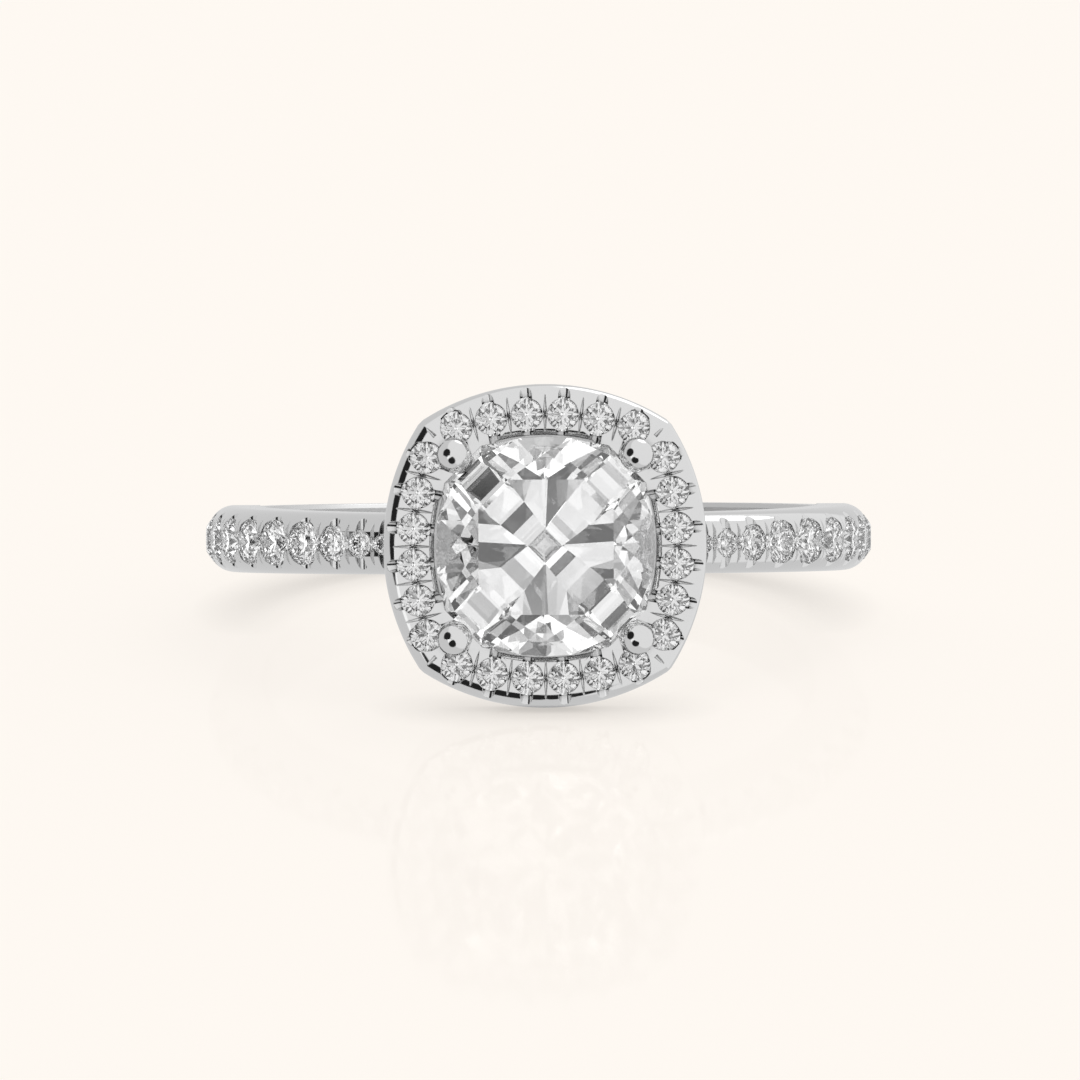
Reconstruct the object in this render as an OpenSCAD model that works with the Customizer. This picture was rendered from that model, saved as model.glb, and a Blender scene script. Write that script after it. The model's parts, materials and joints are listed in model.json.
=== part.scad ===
// Halo ring: a pave shank, a cushion halo and a square cushion stone in four ball claws.
// Sizes are in millimetres. The ring lies on its side, as it rests by itself on a table.

/* [Shank] */
// Inside diameter of the finger hole
finger_d = 17.3; // [14.5:0.1:21.5]
// Thickness of the shank from the finger to its crest
shank_t = 1.7; // [1.5:0.05:2.2]
// Width of the shank at the sides of the finger
side_w = 2.1; // [1.9:0.05:2.5]
// Width of the shank under the head
head_w = 1.75; // [1.6:0.05:2.1]
// Width of the plain back of the shank
back_w = 1.94; // [1.7:0.02:2.1]
// Radius that rounds the outer edges of the shank
edge_r = 0.8; // [0.6:0.01:0.85]
// Height of the fine edge where the rounding of the shoulders meets their crest
crest_edge = 0.04; // [0.02:0.005:0.06]
// Chamfer on the edges of the finger hole
hole_chamfer = 0.14; // [0.05:0.01:0.25]

/* [Shoulder stones] */
// Stones on each shoulder
shoulder_stones = 9; // [6:1:9]
// Diameter of the stone beside the halo
shoulder_d_first = 0.64; // [0.55:0.01:0.75]
// Growth of the diameter from one stone to the next
shoulder_d_step = 0.22; // [0.1:0.01:0.24]
// Diameter of the largest shoulder stones
shoulder_d_max = 1.4; // [1.1:0.02:1.44]
// How far the first stone reaches under the edge of the halo
shoulder_tuck = 0.23; // [0:0.01:0.3]
// Depth of the scoops beside the shoulder stones
shoulder_scoop_depth = 0.29; // [0.2:0.01:0.35]
// Depth of the groove between two shoulder stones
shoulder_groove_depth = 0.15; // [0.08:0.01:0.2]
// Angle from the last groove to the plain back of the shank
pave_end_angle = 1; // [0.8:0.1:3]

/* [Centre stone] */
// Width of the centre stone
centre_w = 6.38; // [6:0.02:6.6]
// Radius of its bulging sides
centre_side_r = 5.8; // [5:0.1:8]
// Distance between opposite cut corners
centre_corner_w = 6.74; // [6.6:0.02:7]
// Depth of the pavilion
centre_pavilion = 2.95; // [2.6:0.01:3.1]
// Height of the crown
centre_crown = 0.92; // [0.75:0.01:1.1]
// Thickness of the girdle
centre_girdle = 0.12; // [0.08:0.01:0.2]
// Width of the table
centre_table_w = 3.9; // [3.4:0.05:4.2]
// Height of the culet over the finger hole
culet_rise = 0.55; // [0.5:0.05:1.5]

/* [Halo] */
// Width of the metal between the centre stone and the halo stones
halo_inner_wall = 0.1; // [0.06:0.01:0.2]
// Width of the metal between the halo stones and the outer edge
halo_rim = 0.37; // [0.3:0.01:0.5]
// Radius of its bulging sides
halo_side_r = 6.6; // [6.3:0.1:9]
// Thickness of the halo
halo_t = 1.2; // [0.9:0.05:1.4]
// Radius that rounds the outer edge
halo_edge_r = 0.45; // [0.3:0.01:0.48]
// Radius that rounds the inner edge
halo_inner_r = 0.2; // [0.1:0.01:0.24]
// Radius that rounds the lower edge
halo_foot_r = 0.12; // [0.06:0.01:0.2]
// Gap between the halo and the centre stone
halo_gap = 0.06; // [0.03:0.01:0.12]
// Width of the ledge that the halo reaches in under the centre stone
ledge_w = 0.3; // [0.1:0.01:0.4]
// Depth of that ledge under the top of the halo
ledge_depth = 0.3; // [0.26:0.01:0.5]
// Depth of the cut that blunts each corner
halo_corner_cut = 0.025; // [0.01:0.005:0.1]
// Height of the girdle of the centre stone over the halo
girdle_over_halo = 0.06; // [0.03:0.01:0.3]

/* [Halo stones] */
// Stones on each side of the halo
halo_side_stones = 6; // [5:1:6]
// Diameter of the halo stones
halo_stone_d = 1.0; // [0.8:0.01:1.02]
// Gap between neighbouring stones
halo_stone_gap = 0.05; // [0.03:0.01:0.08]
// Radius of the bulging sides of the square that the stones are set along
halo_path_r = 8.2; // [7.4:0.1:10]
// Width of the scoops beside the halo stones
halo_scoop_w = 0.35; // [0.2:0.01:0.42]
// Depth of those scoops
halo_scoop_depth = 0.19; // [0.1:0.01:0.19]
// Width of the groove between two stones where it is widest
groove_w = 0.12; // [0.06:0.01:0.16]
// Width of that groove at its ends
groove_end_w = 0.01; // [0.005:0.005:0.04]
// Fall of the grooves between two halo stones towards their ends, in degrees
groove_fall = 3; // [1:0.5:4]

/* [Stone cut] */
// Crown height of the small stones as a share of their diameter
crown_share = 0.15; // [0.1:0.01:0.17]
// Pavilion depth of the small stones as a share of their diameter
pavilion_share = 0.42; // [0.38:0.01:0.45]
// Girdle thickness of the small stones as a share of their diameter
girdle_share = 0.03; // [0.02:0.005:0.05]
// Table width of the small stones as a share of their diameter
table_share = 0.56; // [0.5:0.01:0.62]

/* [Claws] */
// Diameter of the ball on each claw
ball_d = 1.02; // [0.8:0.01:1.1]
// How far each ball reaches over the corner of the centre stone
ball_reach = 0.13; // [0.08:0.01:0.2]
// Height of the centre of the balls over the girdle
ball_rise = 0.16; // [0.05:0.01:0.3]
// Diameter of the claw wires
wire_d = 0.84; // [0.7:0.01:0.9]
// How far the claws lean in from the ball to their knee, in each direction
claw_lean = 0.25; // [0.1:0.01:0.35]
// Height of the knee over the underside of the halo
claw_knee_rise = 0.35; // [0.2:0.01:0.6]
// Distance between the claw feet along the shank
claw_feet_w = 3.2; // [2.6:0.1:4]
// Depth of the axis of the claw feet in the sides of the shank
claw_foot_sink = 0.08; // [0:0.01:0.2]
// Diameter of the gallery rail that joins the wires
rail_d = 0.5; // [0.4:0.01:0.6]

/* [Fits] */
// Gap between each stone and the metal
seat_gap = 0.03; // [0.02:0.005:0.04]
// Gap between neighbouring shoulder stones
stone_gap = 0.03; // [0.02:0.005:0.06]
// How far the metal grips over the edge of a small stone
grip = 0.05; // [0.02:0.005:0.07]

/* [Hidden] */
$fn = 96;

// Size of the blocks that cut the shank apart
far = 40;
side_count = 4;
quarter = 90;
halo_count = side_count * halo_side_stones;

// Shares of the cut of the small stones, by the usual proportions of a round brilliant
main_facets = 8;
girdle_facets = 16;
keel_share = 0.24;

// Shares of the cut of the centre stone. The girdle's cut corners start at this share of its width.
corner_share = 0.2915;
side_point_share = 0.42;
table_corner_share = 0.564;
culet_facet_share = 0.157;
culet_facet_depth = 0.94;

// Facet corners of its crown on one side: place along the side and place outwards as shares of
// the half width, and rise over the girdle as a share of the crown
ALONG = 0;
OUT = 1;
RISE = 2;
CROWN_CORNERS = [
    [0, 0.853, 0.435],
    [0.583, 0.828, 0.326],
    [0.558, 0.759, 0.511]
];

// Breaks across the corner facets of its pavilion: place as a share of the way from the culet
// facets to the girdle, and drop under the straight way as a share of the pavilion
WAY = 0;
DROP = 1;
PAVILION_BREAKS = [
    [0.33, 0.027],
    [0.67, 0.027]
];

// Diameter of the rounded knuckles of the claws as a share of their wire
knuckle_share = 1.06;

function two_digits(n) = n < 10 ? str("0", n) : str(n);
HALO_NODES = [for (i = [1:halo_count]) str("halo_stone_", two_digits(i))];
LEFT_NODES = [for (i = [1:shoulder_stones]) str("left_stone_", two_digits(i))];
RIGHT_NODES = [for (i = [1:shoulder_stones]) str("right_stone_", two_digits(i))];

hole_r = finger_d / 2;
crest_r = hole_r + shank_t;
taper = atan((side_w - head_w) / 2 / crest_r);

// Halo, from the centre stone outwards: opening, line of the stones and outer edge
opening_r = centre_side_r + halo_gap;
path_half = centre_w / 2 + halo_gap + halo_inner_wall + halo_stone_d / 2;
halo_half = path_half + halo_stone_d / 2 + halo_rim;
halo_pitch = halo_stone_d + halo_stone_gap;
ball_offset = (centre_corner_w / 2 + ball_d / 2 - ball_reach) / sqrt(2);

// Heights over the centre of the finger hole, measured towards the head
culet_z = hole_r + culet_rise;
girdle_z = culet_z + centre_pavilion;
crown_z = girdle_z + centre_girdle;
table_z = crown_z + centre_crown;
halo_top_z = girdle_z - girdle_over_halo;
halo_bottom_z = halo_top_z - halo_t;
ball_z = crown_z + ball_rise;

// Depth of the girdle of the small stones in the metal, so that it closes over them by the grip
crown_slope = crown_share / ((1 - table_share) / 2);
sink = (grip + seat_gap) * crown_slope + seat_gap;

// Shoulder stones, counted from the head: place along the crest and angle from the head
function shoulder_d(i) = min(shoulder_d_max, shoulder_d_first + i * shoulder_d_step);
function run(i) = i <= 0 ? 0 : run(i - 1) + shoulder_d(i - 1) + stone_gap;
function crest_angle(length) = length / (crest_r - sink) * 180 / PI;
first_angle = asin((halo_half - shoulder_tuck) / crest_r);
function groove_angle(i) = first_angle + crest_angle(run(i));
function shoulder_angle(i) = (groove_angle(i) + groove_angle(i + 1)) / 2;
pave_end_y = -crest_r * cos(groove_angle(shoulder_stones) + pave_end_angle);

// Contact of the resting ring with the table, as centres of the rounded edges in the plane through
// the head and the back: the lower edge of the halo and the back of the shank
halo_foot = [-(halo_bottom_z + halo_foot_r), -(halo_half - halo_foot_r)];
back_foot = [crest_r - edge_r, -(back_w / 2 - edge_r)];
feet = back_foot - halo_foot;
lean = atan(feet[1] / feet[0]) - asin((edge_r - halo_foot_r) / norm(feet));
lift = back_foot[0] * sin(lean) - back_foot[1] * cos(lean) + edge_r;
ball_front = ball_z * cos(lean) + ball_offset * sin(lean) + ball_d / 2;
table_front = table_z * cos(lean) + centre_table_w / 2 * sin(lean);
front_y = -max(ball_front, table_front);
back_y = back_foot[0] * cos(lean) - back_foot[1] * sin(lean) + edge_r;

// The ring as it rests, from the ring's own frame: finger axis along Z, head towards -Y
module at_rest() {
    translate([0, -(front_y + back_y) / 2, lift]) rotate([-lean, 0, 0]) children();
}

// The head's own frame: Z points out of the head, Y along the finger
module on_head() {
    rotate([90, 0, 0]) children();
}

// A place on the crest of the shank: Z points out of it, Y along the finger
module on_crest(angle) {
    rotate([0, 0, angle]) on_head() translate([0, 0, crest_r]) children();
}

// A place on the line of the halo stones: Y points out of the halo
module on_halo(side, along) {
    turn = along / halo_path_r * 180 / PI;
    rotate([0, 0, side * quarter])
        translate([0, path_half - halo_path_r, halo_top_z])
            rotate([0, 0, -turn]) translate([0, halo_path_r, 0]) children();
}

function side_of(k) = floor(k / halo_side_stones);
function along_of(k) = (k % halo_side_stones - (halo_side_stones - 1) / 2) * halo_pitch;
function turn_of(k) = side_of(k) * quarter - along_of(k) / halo_path_r * 180 / PI;

// Where two bulging sides of a square outline meet, measured along the diagonal
function sharp_corner(half, side_r) =
    let (c = side_r - half) (sqrt(2 * side_r * side_r - c * c) - c) / sqrt(2);

// What discs, one for each bulging side with its middle at the distance given, have in common
module cushion(half, side_r) {
    intersection_for (k = [0:side_count - 1])
        rotate([0, 0, k * quarter]) translate([0, half - side_r, 0]) children();
}

// Square bar along Z whose flat sides cut the corners of a cushion at the distance given
module corner_cutter(corner) {
    rotate([0, 0, quarter / 2]) cube([2 * corner, 2 * corner, far], center = true);
}

function ring(count, r, z, phase) =
    [for (i = [0:count - 1]) let (a = 360 * (i + phase) / count) [r * cos(a), r * sin(a), z]];

// A convex cut stone, given by its corners
module gem(points) {
    hull() polyhedron(points, [[for (i = [0:len(points) - 1]) i]]);
}

// Round brilliant with its table up and its girdle at height 0
module brilliant(d) {
    r = d / 2;
    crown = crown_share * d;
    table_r = table_share * r;
    pavilion = pavilion_share * d;
    girdle = girdle_share * d;
    star_r = (table_r + r) / 2;
    flat_share = cos(180 / main_facets);
    star_z = crown * (r - star_r * flat_share) / (r - table_r);
    keel_r = keel_share * r;
    keel_z = -girdle - pavilion * (1 - keel_share * flat_share);
    gem(concat(
        ring(main_facets, table_r, crown, 0),
        ring(main_facets, star_r, star_z, 0.5),
        ring(girdle_facets, r, 0, 0),
        ring(girdle_facets, r, -girdle, 0),
        ring(main_facets, keel_r, keel_z, 0.5),
        [[0, 0, -girdle - pavilion]]
    ));
}

// Room that a brilliant needs in the metal, narrowed over the girdle so that the metal grips it
module brilliant_seat(d) {
    r = d / 2;
    foot = -(girdle_share + pavilion_share) * d - 2 * seat_gap;
    top = crown_share * d + seat_gap;
    rotate_extrude()
        polygon([
            [0, foot], [r + seat_gap, -girdle_share * d - seat_gap], [r + seat_gap, seat_gap],
            [table_share * r + seat_gap, top], [0, top]
        ]);
}

// Corners of the centre stone. spread moves each of them outwards, for the room it needs.
centre_corner_x = centre_w * corner_share;
function side_point(x, spread) =
    let (r = centre_side_r + spread) [x, sqrt(r * r - x * x) - r + centre_w / 2 + spread];
function corner_y(spread) = centre_corner_w / sqrt(2) - centre_corner_x + spread * sqrt(2);
function around(points, z) = [
    for (k = [0:side_count - 1]) for (p = points)
        let (c = cos(k * quarter), s = sin(k * quarter)) [p[0] * c - p[1] * s, p[0] * s + p[1] * c, z]
];
function both(p) = [p, [-p[0], p[1]]];

function girdle_outline(spread) = concat(
    both([centre_corner_x, corner_y(spread)]),
    both(side_point(centre_corner_x * side_point_share, spread)),
    [side_point(0, spread)]
);

function centre_points(spread) =
    let (
        half = centre_w / 2 + spread,
        table = centre_table_w / 2 + spread,
        top = centre_girdle + spread,
        culet = -centre_pavilion - 2 * spread,
        keel = [0, culet_facet_share * half],
        keel_z = culet_facet_depth * culet,
        to_corner = [centre_corner_x, corner_y(spread)] - keel
    )
    concat(
        around(girdle_outline(spread), -spread),
        around(girdle_outline(spread), top),
        [for (c = CROWN_CORNERS)
            each around(both([c[ALONG] * half, c[OUT] * half]), top + c[RISE] * centre_crown)],
        around(both([table_corner_share * table, table]), top + centre_crown),
        [for (b = PAVILION_BREAKS)
            each around(
                both(keel + b[WAY] * to_corner),
                keel_z * (1 - b[WAY]) - b[DROP] * centre_pavilion - spread
            )],
        around([keel], keel_z),
        [[0, 0, culet]]
    );

module centre_stone() {
    color("white") at_rest() on_head() translate([0, 0, girdle_z]) gem(centre_points(0));
}

module halo_stone(k) {
    color("aliceblue") at_rest() on_head() on_halo(side_of(k), along_of(k))
        rotate([0, 0, -turn_of(k)]) translate([0, 0, -sink]) brilliant(halo_stone_d);
}

module shoulder_stone(i, side) {
    color("aliceblue") at_rest() on_crest(side * shoulder_angle(i))
        translate([0, 0, -sink]) brilliant(shoulder_d(i));
}

// Quarter of a disc, between the directions of X and Y
module quarter_disc(r) {
    intersection() {
        circle(r = r);
        square(r);
    }
}

// One face of the shank, falling towards the head by the angle given, with its rounded outer edge
// and the chamfer of the finger hole. It reaches past the crest, so that it meets it at an edge.
module shank_face(half_w, fall) {
    outer = crest_r + crest_edge;
    inner = half_w - hole_chamfer - shank_t;
    rotate([fall, 0, 0]) rotate_extrude() {
        polygon([
            [0, -side_w], [outer, -side_w], [outer, half_w - edge_r], [outer - edge_r, half_w - edge_r],
            [outer - edge_r, half_w], [hole_r + hole_chamfer, half_w], [hole_r - shank_t, inner], [0, inner]
        ]);
        translate([outer - edge_r, half_w - edge_r]) quarter_disc(edge_r);
    }
}

// Pave part of the shank, narrowing towards the head
module shoulders() {
    intersection() {
        difference() {
            cylinder(r = crest_r, h = 2 * side_w, center = true);
            cylinder(r = hole_r, h = far, center = true);
        }
        shank_face(side_w / 2, taper);
        mirror([0, 0, 1]) shank_face(side_w / 2, taper);
        mirror([0, 1, 0]) translate([-far / 2, -pave_end_y, -far / 2]) cube(far);
    }
}

// Half section of the plain back
module back_half_section() {
    half_w = back_w / 2;
    flat = half_w - edge_r;
    polygon([
        [hole_r, 0], [crest_r, 0], [crest_r, flat], [crest_r - edge_r, flat],
        [crest_r - edge_r, half_w], [hole_r + hole_chamfer, half_w], [hole_r, half_w - hole_chamfer]
    ]);
    translate([crest_r - edge_r, flat]) quarter_disc(edge_r);
}

// Plain back of the shank
module back() {
    intersection() {
        rotate_extrude() {
            back_half_section();
            mirror([0, 1]) back_half_section();
        }
        translate([-far / 2, pave_end_y, -far / 2]) cube(far);
    }
}

// Disc with rounded rims, whose edge makes one bulging side of the halo
module halo_disc() {
    r = halo_side_r;
    flat_r = r - halo_edge_r;
    shoulder_z = halo_t - halo_edge_r;
    rotate_extrude() {
        polygon([
            [0, 0], [r - halo_foot_r, 0], [r - halo_foot_r, halo_foot_r], [r, halo_foot_r],
            [r, shoulder_z], [flat_r, shoulder_z], [flat_r, halo_t], [0, halo_t]
        ]);
        translate([flat_r, shoulder_z]) quarter_disc(halo_edge_r);
        translate([r - halo_foot_r, halo_foot_r]) mirror([0, 1]) quarter_disc(halo_foot_r);
    }
}

// Disc whose edge makes one side of the halo's opening: narrow up to the ledge under the centre
// stone and flared at the top by the inner rounding
module opening_disc() {
    flare = halo_t - halo_inner_r;
    rotate_extrude() {
        translate([0, -halo_t]) square([opening_r - ledge_w, 2 * halo_t]);
        translate([0, halo_t - ledge_depth]) square([opening_r, halo_t]);
        difference() {
            translate([0, flare]) square([opening_r + halo_inner_r, halo_t]);
            translate([opening_r + halo_inner_r, flare]) circle(r = halo_inner_r);
        }
    }
}

// Halo frame before its stones are set. Its inner corners reach in to the claws.
module halo_body() {
    translate([0, 0, halo_bottom_z]) difference() {
        intersection() {
            cushion(halo_half, halo_side_r) halo_disc();
            corner_cutter(sharp_corner(halo_half, halo_side_r) - halo_corner_cut);
        }
        intersection() {
            cushion(centre_w / 2, centre_side_r) opening_disc();
            corner_cutter(centre_corner_w / 2 - wire_d / 4);
        }
    }
}

module wire(from, to, d) {
    way = to - from;
    translate(from) rotate([0, acos(way[2] / norm(way)), atan2(way[1], way[0])])
        cylinder(d = d, h = norm(way));
}

// Claw: up the side of the shank, out to the corner of the halo and up to the ball
wire_foot = [claw_feet_w / 2, head_w / 2 - claw_foot_sink, hole_r + shank_t / 2];
wire_knee = [ball_offset - claw_lean, ball_offset - claw_lean, halo_bottom_z + claw_knee_rise];
ball = [ball_offset, ball_offset, ball_z];

module claw() {
    knuckle_d = knuckle_share * wire_d;
    translate(wire_foot) sphere(d = knuckle_d);
    wire(wire_foot, wire_knee, wire_d);
    translate(wire_knee) sphere(d = knuckle_d);
    wire(wire_knee, ball, wire_d);
    translate(ball) sphere(d = ball_d);
}

// Gallery rail between the claws, halfway up the basket
rail_at = (wire_foot + wire_knee) / 2;

module rail() {
    for (side = [-1, 1]) {
        translate([-rail_at[0], side * rail_at[1], rail_at[2]])
            rotate([0, quarter, 0]) cylinder(d = rail_d, h = 2 * rail_at[0]);
        translate([side * rail_at[0], rail_at[1], rail_at[2]])
            rotate([quarter, 0, 0]) cylinder(d = rail_d, h = 2 * rail_at[1]);
    }
}

module basket() {
    for (x = [0, 1], y = [0, 1])
        mirror([x, 0, 0]) mirror([0, y, 0]) claw();
    rail();
}

// Room for the centre stone: its own shape, larger by the seat gap. It notches the shank's crest.
module centre_room() {
    translate([0, 0, girdle_z]) gem(centre_points(seat_gap));
}

// Channel with a round floor, run along Y over the half length given, its floor at the depth given
module scoop(width, depth, half_length) {
    rotate([quarter, 0, 0]) linear_extrude(2 * half_length, center = true) {
        translate([0, width / 2 - depth]) circle(d = width);
        translate([-width / 2, width / 2 - depth]) square(width);
    }
}

// Tapered groove between two halo stones, running out to a point in the surface
groove_reach = halo_half - path_half - halo_edge_r / 2;

module halo_groove() {
    translate([0, 0, groove_end_w]) rotate([-quarter - groove_fall, 0, 0])
        cylinder(d1 = groove_w, d2 = groove_end_w, h = groove_reach);
}

module halo_scoops() {
    for (k = [0:halo_count - 1])
        on_halo(side_of(k), along_of(k)) scoop(halo_scoop_w, halo_scoop_depth, halo_stone_d);
    for (side = [0:side_count - 1], i = [1:halo_side_stones - 1])
        on_halo(side, (i - halo_side_stones / 2) * halo_pitch) {
            halo_groove();
            mirror([0, 1, 0]) halo_groove();
        }
    for (side = [0:side_count - 1])
        rotate([0, 0, quarter / 2 + side * quarter])
            translate([0, sharp_corner(path_half, halo_path_r), halo_top_z]) halo_groove();
}

module halo_seats() {
    for (k = [0:halo_count - 1])
        on_halo(side_of(k), along_of(k)) translate([0, 0, -sink]) brilliant_seat(halo_stone_d);
}

// Straight groove across the shank between two shoulder stones
module shoulder_groove() {
    rotate([quarter, 0, 0]) linear_extrude(2 * side_w, center = true)
        polygon([
            [0, -shoulder_groove_depth], [groove_w / 2, groove_end_w], [-groove_w / 2, groove_end_w]
        ]);
}

module shoulder_cuts(side) {
    for (i = [0:shoulder_stones - 1]) {
        d = shoulder_d(i);
        on_crest(side * shoulder_angle(i)) {
            translate([0, 0, -sink]) brilliant_seat(d);
            scoop(halo_scoop_w * d / halo_stone_d, shoulder_scoop_depth, side_w);
        }
        on_crest(side * groove_angle(i + 1)) shoulder_groove();
    }
}

module setting() {
    color("gainsboro") at_rest() difference() {
        union() {
            difference() {
                union() {
                    shoulders();
                    back();
                    on_head() halo_body();
                }
                on_head() halo_scoops();
                shoulder_cuts(-1);
                shoulder_cuts(1);
            }
            on_head() basket();
        }
        on_head() centre_room();
        on_head() halo_seats();
    }
}

setting();
centre_stone();
for (k = [0:halo_count - 1])
    halo_stone(k);
for (i = [0:shoulder_stones - 1]) {
    shoulder_stone(i, -1);
    shoulder_stone(i, 1);
}
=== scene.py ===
"""A halo ring resting on a pale floor: finish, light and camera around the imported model.

Lengths are in metres and angles in degrees. X points right, Y away from the camera and Z up.
"""

import json
import math

import bpy
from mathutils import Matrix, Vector

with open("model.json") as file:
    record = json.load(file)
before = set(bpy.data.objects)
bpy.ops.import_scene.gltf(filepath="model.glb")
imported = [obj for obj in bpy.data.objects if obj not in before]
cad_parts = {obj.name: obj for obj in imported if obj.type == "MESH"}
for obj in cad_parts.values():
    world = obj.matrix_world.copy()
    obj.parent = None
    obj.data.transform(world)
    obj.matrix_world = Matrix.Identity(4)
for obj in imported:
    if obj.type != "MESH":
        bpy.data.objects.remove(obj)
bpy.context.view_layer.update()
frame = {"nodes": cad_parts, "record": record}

MM = 0.001
WHITE = (1, 1, 1, 1)
SCENE = bpy.context.scene
NODES = frame["nodes"]
SMALL_STONES = [name for name in NODES if "stone" in name and name != "centre_stone"]

# The finger hole's middle, lean and radius, as the record's mount gives them
BORE = frame["record"]["mounts"][0]
RING_CENTRE = Vector(BORE["pos_m"])
FINGER_AXIS = Vector(BORE["axis"])
BORE_RADIUS = BORE["dims"]["r_mm"] * MM

# The head's directions, as one faces it
HEAD_AXIS = Vector((0, -FINGER_AXIS.z, FINGER_AXIS.y))
HEAD_RIGHT = Vector((1, 0, 0))
HEAD_UP = HEAD_AXIS.cross(HEAD_RIGHT)

# Camera, at the photograph's angle to the ring. It looks past the ring's centre by the two aims.
CAMERA_AZIMUTH = -0.98
CAMERA_ELEVATION = 11.61
CAMERA_DISTANCE = 150 * MM
CAMERA_CLIP = (0.01, 10)
SENSOR = 36.0
FRAME_WIDTH_AT_RING = 34.13 * MM
AIM_RIGHT = 0.047 * MM
AIM_UP = -0.09 * MM

# Floor: a glow of its own, a share of matt paint that takes shadows, and a share of mirror
FLOOR_COLOUR = (1.0, 0.948, 0.89)
FLOOR_HALF = 2.0
FLOOR_GLOW = 1.054
FLOOR_PAINT = 0.22
FLOOR_MIRROR = 0.06
FLOOR_MIRROR_ROUGHNESS = 0.05
# Painted contact shadow: share of the glow that is left where the ring closes the floor in, and how far that
# reaches
CONTACT_SHADOW_GLOW = 0.72
CONTACT_REACH = 2 * MM
CONTACT_SAMPLES = 8

# Weak key light from behind on the right, with soft shadows
SUN_ENERGY = 0.2
SUN_AZIMUTH = 150
SUN_ELEVATION = 50
SUN_SIZE = 30

# Studio around the ring as the head faces it. Each row is a round card of light: its clock angle,
# 0 up and 90 to the right, its angle from the head's own axis, its half angle, the width of its soft
# edge and its brightness. Later cards cover earlier ones.
METAL_STUDIO_LEVEL = 0.72
METAL_STUDIO = [
    # clock, off axis, half angle, soft edge, brightness
    (243, 26, 22, 3, 1.2),
    (60, 60, 86, 5, 0.92),
    (290, 52, 25, 2, 0.02),
    (201, 38, 23, 2, 0.02),
]
# Through the stones another studio shows: light and dark squares in turn, as on a chessboard, over two
# broad lights at the sides that brighten the stones of the shoulders. The metal doesn't reflect it.
GEM_STUDIO_LEVEL = 0.46
GEM_SIDE_LIGHTS = [
    # clock, off axis, half angle, soft edge, brightness
    (90, 90, 50, 20, 1.2),
    (270, 90, 50, 20, 1.7),
]
# The squares' side, as a share of a unit direction, their shift in squares, what they add or take off,
# and how steep their edges are
SQUARE_SIDE = 0.3
SQUARE_SHIFT = (0.2, 0.3)
SQUARE_CONTRAST = 0.45
SQUARE_STEEPNESS = 3.0

# Reflectance of the polished metal, and the darker colour painted as shade into its cuts narrower than about
# this length
METAL_SHADE = 0.76
PAINTED_CUT_SHADE = 0.2
CUT_REACH = 0.3 * MM
CUT_SAMPLES = 6
# Openness at which a place is fully a cut, and at which it no longer is one
CUT_OPENNESS = (0.3, 0.7)
# Only the halo's cuts get this painted shade, between these distances to the side or up and down from the
# middle of the head. The metal behind the centre stone and the shoulders get no painted shade.
PAINTED_SHADE_FROM = 2.95 * MM
PAINTED_SHADE_TO = 4.75 * MM
# Width over which one finish goes over into the next
BLEND = 0.1 * MM

# Roughness of the polished metal, in its smooth and its smeared places, and the noise between them
POLISH = (0.05, 0.11)
SMEAR_SCALE = 2600.0
SMEAR_DETAIL = 4.0
SMEAR_SPREAD = (0.35, 0.7)
# The finger hole has a brush finish, so what is within its radius and this margin is rougher; it is also
# darker, with painted shade inside the ring
BRUSHED = 0.35
BORE_PAINTED_DIM = 0.85
BORE_MARGIN = 0.1 * MM

# Slight waves of the metal's surface, and the rounding of its edges
WAVE_SCALE = 900.0
WAVE_DETAIL = 3.0
WAVE_STRENGTH = 0.05
WAVE_HEIGHT = 0.02 * MM
EDGE_ROUND = 0.03 * MM
EDGE_SAMPLES = 4

# Diamond, with patches of very faint haze on its facets
DIAMOND_IOR = 2.417
HAZE_SCALE = 4000.0
HAZE_DETAIL = 2.0
HAZE_SPREAD = (0.4, 0.8)
HAZE_ROUGHNESS = 0.01


class Graph:
    """Short way to build the node tree of a material or a world."""

    def __init__(self, owner):
        owner.use_nodes = True
        self.tree = owner.node_tree
        self.tree.nodes.clear()

    def add(self, kind, inputs=None, **settings):
        """New node. Each input takes a value, or the output that feeds it."""
        node = self.tree.nodes.new(kind)
        for name, value in settings.items():
            setattr(node, name, value)
        for name, value in (inputs or {}).items():
            if isinstance(value, bpy.types.NodeSocket):
                self.tree.links.new(value, node.inputs[name])
            else:
                node.inputs[name].default_value = value
        return node

    def math(self, operation, *values):
        return self.add("ShaderNodeMath", dict(enumerate(values)), operation=operation).outputs[0]

    def vector(self, operation, *values):
        return self.add("ShaderNodeVectorMath", dict(enumerate(values)), operation=operation)

    def map_range(self, value, low, high, to_low, to_high, kind="LINEAR"):
        node = self.add(
            "ShaderNodeMapRange",
            {"Value": value, "From Min": low, "From Max": high, "To Min": to_low, "To Max": to_high},
            interpolation_type=kind,
        )
        return node.outputs[0]

    def noise(self, place, scale, detail):
        node = self.add("ShaderNodeTexNoise", {"Vector": place, "Scale": scale, "Detail": detail})
        return node.outputs["Fac"]

    def openness(self, reach, samples):
        """1 in the open, less where something closer than reach closes the surface in."""
        node = self.add("ShaderNodeAmbientOcclusion", {"Distance": reach}, samples=samples)
        return node.outputs["AO"]

    def mix(self, share, first, second):
        """Shader with this share of the second one."""
        return self.add("ShaderNodeMixShader", {0: share, 1: first.outputs[0], 2: second.outputs[0]})

    def finish(self, shader, kind="ShaderNodeOutputMaterial"):
        self.add(kind, {"Surface": shader.outputs[0]})


def direction(azimuth, elevation):
    """Unit vector towards a place seen from the ring: azimuth 0 is the camera's side, 90 the right."""
    turn = math.radians(azimuth)
    rise = math.radians(elevation)
    return Vector((math.sin(turn) * math.cos(rise), -math.cos(turn) * math.cos(rise), math.sin(rise)))


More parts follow.
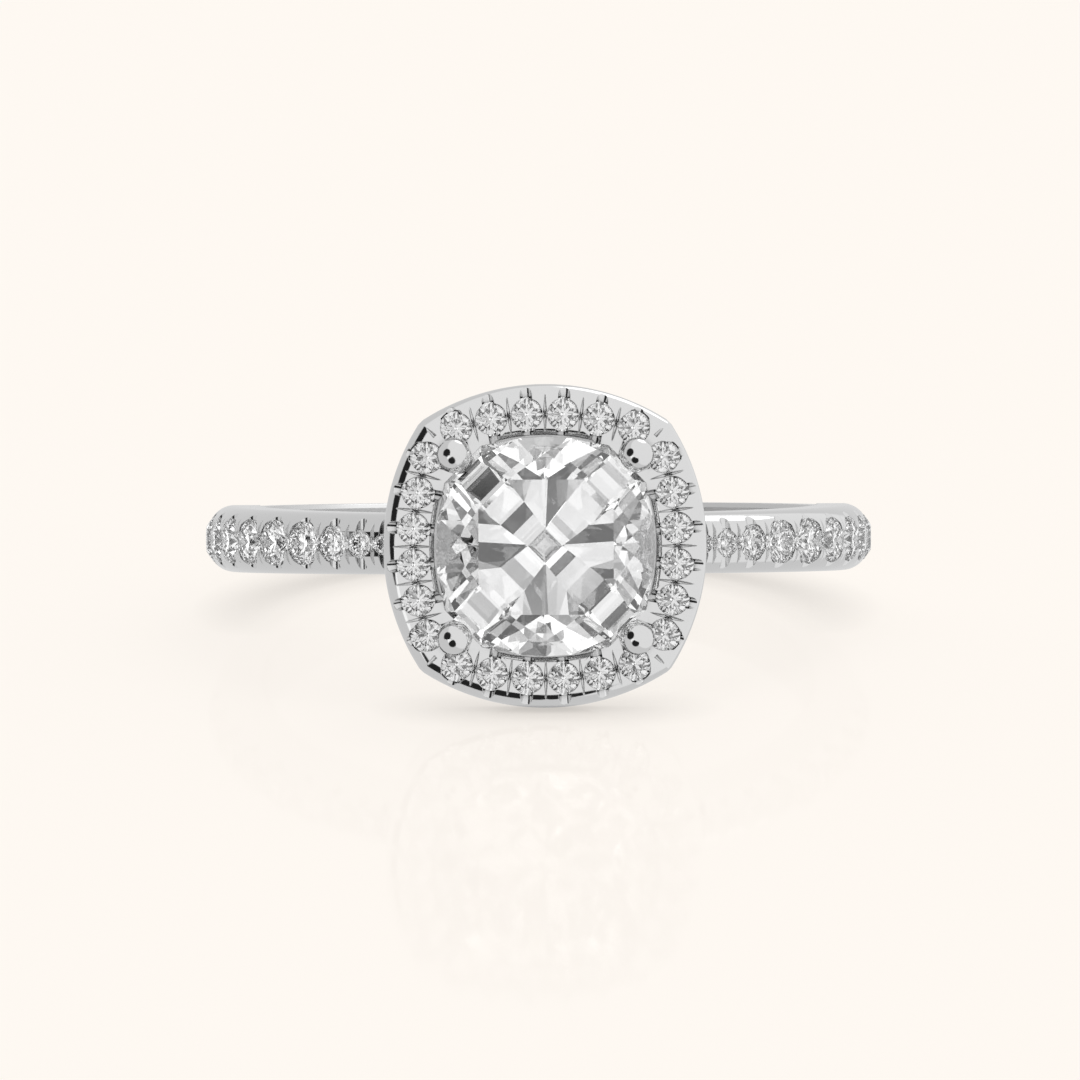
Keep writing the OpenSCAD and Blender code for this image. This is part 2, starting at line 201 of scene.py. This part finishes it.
def head_direction(clock, off):
    """Unit vector at an angle from the head's axis, in the direction of a clock angle."""
    around = math.radians(clock)
    away = math.radians(off)
    sideways = HEAD_RIGHT * math.sin(around) + HEAD_UP * math.cos(around)
    return HEAD_AXIS * math.cos(away) + sideways * math.sin(away)


def place_facing(name, data, back):
    """New object in the scene whose local Z points along back."""
    thing = bpy.data.objects.new(name, data)
    thing.rotation_mode = "QUATERNION"
    thing.rotation_quaternion = back.to_track_quat("Z", "Y")
    SCENE.collection.objects.link(thing)
    return thing


def make_camera():
    data = bpy.data.cameras.new("camera")
    data.sensor_width = SENSOR
    data.lens = SENSOR * CAMERA_DISTANCE / FRAME_WIDTH_AT_RING
    data.clip_start, data.clip_end = CAMERA_CLIP
    back = direction(CAMERA_AZIMUTH, CAMERA_ELEVATION)
    camera = place_facing("camera", data, back)
    aim = camera.rotation_quaternion @ Vector((AIM_RIGHT, AIM_UP, 0))
    camera.location = RING_CENTRE + aim + back * CAMERA_DISTANCE
    SCENE.camera = camera


def make_sun():
    data = bpy.data.lights.new("key", "SUN")
    data.energy = SUN_ENERGY
    data.angle = math.radians(SUN_SIZE)
    place_facing("key", data, direction(SUN_AZIMUTH, SUN_ELEVATION))


def along(graph, vector, way):
    """Length of a vector along a unit vector."""
    return graph.vector("DOT_PRODUCT", vector, way).outputs["Value"]


def add_cards(graph, look, level, cards):
    """Brightness of the studio in the looking direction, with round cards of light in front of it."""
    for clock, off, reach, soft, brightness in cards:
        edge = math.cos(math.radians(reach + soft / 2))
        full = math.cos(math.radians(max(0, reach - soft / 2)))
        towards = along(graph, look, head_direction(clock, off))
        cover = graph.map_range(towards, edge, full, 0, 1, "SMOOTHSTEP")
        change = graph.math("SUBTRACT", brightness, level)
        level = graph.math("MULTIPLY_ADD", cover, change, level)
    return level


def add_squares(graph, look, level):
    """Brightness with the chessboard of light and dark squares added to it."""
    rate = math.pi / SQUARE_SIDE
    waves = []
    for way, shift in zip((HEAD_RIGHT, HEAD_UP), SQUARE_SHIFT):
        phase = graph.math("MULTIPLY_ADD", along(graph, look, way), rate, math.pi * shift)
        waves.append(graph.math("SINE", phase))
    product = graph.math("MULTIPLY", *waves)
    squares = graph.map_range(product, -1 / SQUARE_STEEPNESS, 1 / SQUARE_STEEPNESS, -1, 1)
    return graph.math("MULTIPLY_ADD", squares, SQUARE_CONTRAST, level)


def make_world():
    """One studio for the metal, and another for the light that comes through a stone."""
    world = bpy.data.worlds.new("studio")
    SCENE.world = world
    graph = Graph(world)
    look = graph.add("ShaderNodeTexCoord").outputs["Generated"]
    metal_light = add_cards(graph, look, METAL_STUDIO_LEVEL, METAL_STUDIO)
    gem_light = add_squares(graph, look, add_cards(graph, look, GEM_STUDIO_LEVEL, GEM_SIDE_LIGHTS))
    through_gem = graph.add("ShaderNodeLightPath").outputs["Is Transmission Ray"]
    change = graph.math("SUBTRACT", gem_light, metal_light)
    level = graph.math("MULTIPLY_ADD", through_gem, change, metal_light)
    background = graph.add("ShaderNodeBackground", {"Strength": level, "Color": WHITE})
    graph.finish(background, "ShaderNodeOutputWorld")


def floor_material():
    material = bpy.data.materials.new("floor")
    graph = Graph(material)
    colour = (*FLOOR_COLOUR, 1)
    # Painted contact shadow: the floor's glow is dimmed where the ring closes it in
    openness = graph.openness(CONTACT_REACH, CONTACT_SAMPLES)
    glow_with_painted_shadow = graph.map_range(openness, 0, 1, FLOOR_GLOW * CONTACT_SHADOW_GLOW, FLOOR_GLOW)
    glow = graph.add("ShaderNodeEmission", {"Color": colour, "Strength": glow_with_painted_shadow})
    paint = graph.add("ShaderNodeBsdfDiffuse", {"Color": colour})
    mirror = graph.add(
        "ShaderNodeBsdfAnisotropic",
        {"Color": WHITE, "Roughness": FLOOR_MIRROR_ROUGHNESS},
    )
    graph.finish(graph.mix(FLOOR_MIRROR, graph.mix(FLOOR_PAINT, glow, paint), mirror))
    material.cycles.emission_sampling = "NONE"
    return material


def make_floor():
    """Wide floor that shows in the picture but not in the metal or through the stones."""
    mesh = bpy.data.meshes.new("floor")
    half = FLOOR_HALF
    corners = [(-half, -half, 0), (half, -half, 0), (half, half, 0), (-half, half, 0)]
    mesh.from_pydata(corners, [], [(0, 1, 2, 3)])
    mesh.materials.append(floor_material())
    floor = bpy.data.objects.new("floor", mesh)
    SCENE.collection.objects.link(floor)
    floor.visible_glossy = False
    floor.visible_transmission = False


def on_halo(graph, from_middle):
    """1 within the halo's square frame as one faces the head, 0 inside that frame and outside it."""
    sides = [graph.math("ABSOLUTE", along(graph, from_middle, way)) for way in (HEAD_RIGHT, HEAD_UP)]
    off = graph.math("MAXIMUM", *sides)
    outside = graph.map_range(off, PAINTED_SHADE_FROM, PAINTED_SHADE_FROM + BLEND, 0, 1)
    inside = graph.map_range(off, PAINTED_SHADE_TO, PAINTED_SHADE_TO + BLEND, 1, 0)
    return graph.math("MULTIPLY", outside, inside)


def in_bore(graph, from_middle):
    """1 on the wall of the finger hole, 0 further out."""
    across = graph.vector("CROSS_PRODUCT", from_middle, FINGER_AXIS).outputs["Vector"]
    off = graph.vector("LENGTH", across).outputs["Value"]
    wall = BORE_RADIUS + BORE_MARGIN
    return graph.map_range(off, wall, wall + BLEND, 1, 0)


def metal_material():
    """White gold, polished to a mirror, with shade painted into the halo's narrow cuts, and a brush finish in
    the finger hole, whose wall also gets painted shade.
    """
    material = bpy.data.materials.new("white_gold")
    graph = Graph(material)
    place = graph.add("ShaderNodeTexCoord").outputs["Object"]
    from_middle = graph.vector("SUBTRACT", place, RING_CENTRE).outputs["Vector"]
    brushed_and_shaded = in_bore(graph, from_middle)

    smears = graph.noise(place, SMEAR_SCALE, SMEAR_DETAIL)
    polish = graph.map_range(smears, *SMEAR_SPREAD, *POLISH)
    roughness = graph.math("MAXIMUM", polish, graph.math("MULTIPLY", brushed_and_shaded, BRUSHED))

    bevel = graph.add("ShaderNodeBevel", {"Radius": EDGE_ROUND}, samples=EDGE_SAMPLES)
    bump = graph.add("ShaderNodeBump", {
        "Height": graph.noise(place, WAVE_SCALE, WAVE_DETAIL),
        "Strength": WAVE_STRENGTH,
        "Distance": WAVE_HEIGHT,
        "Normal": bevel.outputs["Normal"],
    })

    # Painted shade: the halo's narrow cuts are darkened where the surface is closed in
    in_cut = graph.map_range(graph.openness(CUT_REACH, CUT_SAMPLES), *CUT_OPENNESS, 1, 0)
    painted_cut_shade = graph.math("MULTIPLY", in_cut, on_halo(graph, from_middle))
    shade = graph.math("MULTIPLY_ADD", painted_cut_shade, PAINTED_CUT_SHADE - METAL_SHADE, METAL_SHADE)
    # Painted shade: the finger hole's wall is darker
    bore_painted_shade = graph.math("MULTIPLY_ADD", brushed_and_shaded, BORE_PAINTED_DIM - 1, 1)

    graph.finish(graph.add("ShaderNodeBsdfPrincipled", {
        "Base Color": graph.math("MULTIPLY", shade, bore_painted_shade),
        "Metallic": 1.0,
        "Roughness": roughness,
        "Normal": bump.outputs["Normal"],
    }))
    return material


def diamond_material(name):
    """Clear polished diamond."""
    material = bpy.data.materials.new(name)
    graph = Graph(material)
    place = graph.add("ShaderNodeTexCoord").outputs["Object"]
    haze = graph.noise(place, HAZE_SCALE, HAZE_DETAIL)
    graph.finish(graph.add("ShaderNodeBsdfPrincipled", {
        "Base Color": WHITE,
        "Roughness": graph.map_range(haze, *HAZE_SPREAD, 0.0, HAZE_ROUGHNESS),
        "IOR": DIAMOND_IOR,
        "Transmission Weight": 1.0,
    }))
    return material


def dress(node, material):
    """Give a CAD node its finish."""
    mesh = NODES[node].data
    mesh.materials.clear()
    mesh.materials.append(material)


def set_rendering():
    """Enough bounces for light to find its way out of the stones, no grain, and colours as they are."""
    cycles = SCENE.cycles
    cycles.max_bounces = 24
    cycles.transmission_bounces = 24
    cycles.glossy_bounces = 12
    cycles.diffuse_bounces = 3
    cycles.use_denoising = True
    SCENE.view_settings.view_transform = "Standard"


make_camera()
make_world()
make_sun()
make_floor()
set_rendering()
dress("setting", metal_material())
dress("centre_stone", diamond_material("centre_diamond"))
small_diamond = diamond_material("small_diamond")
for name in SMALL_STONES:
    dress(name, small_diamond)
